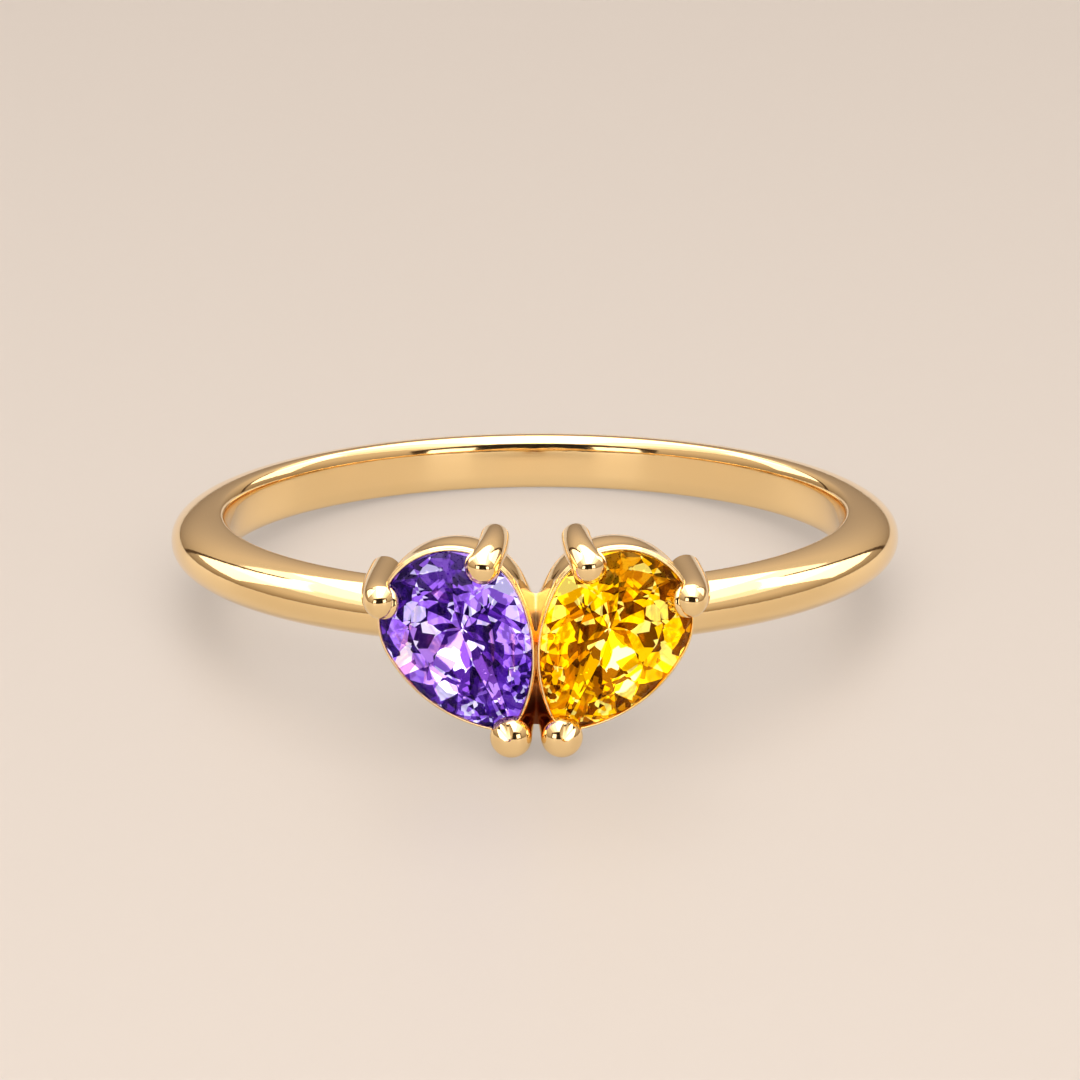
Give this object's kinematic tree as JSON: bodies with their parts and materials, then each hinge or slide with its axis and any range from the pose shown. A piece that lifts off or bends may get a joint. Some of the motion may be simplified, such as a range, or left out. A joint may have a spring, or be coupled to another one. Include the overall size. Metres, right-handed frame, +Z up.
{
  "type": "finger ring",
  "caption": "Finger ring: slim half-round polished gold band with a heart of two mirrored pear-cut stones, one purple and one golden yellow, in thin-rimmed cups with claws.",
  "frame": {"origin": "centre of the bounding box's bottom, on the surface that the ring lies on", "axes": "+Z up, with the finger hole facing up and leaning a little; -Y towards the heart; X across the ring, purple stone at -X"},
  "size_m": [0.0204, 0.023, 0.0058],
  "materials": {
    "yellow_gold": "polished 14 karat yellow gold",
    "purple_gem": "polished facets, clear purple",
    "yellow_gem": "polished facets, clear golden yellow"
  },
  "bodies": {
    "root": {"band_with_setting": "yellow_gold", "purple_stone": "purple_gem", "yellow_stone": "yellow_gem"}
  },
  "joints": []
}
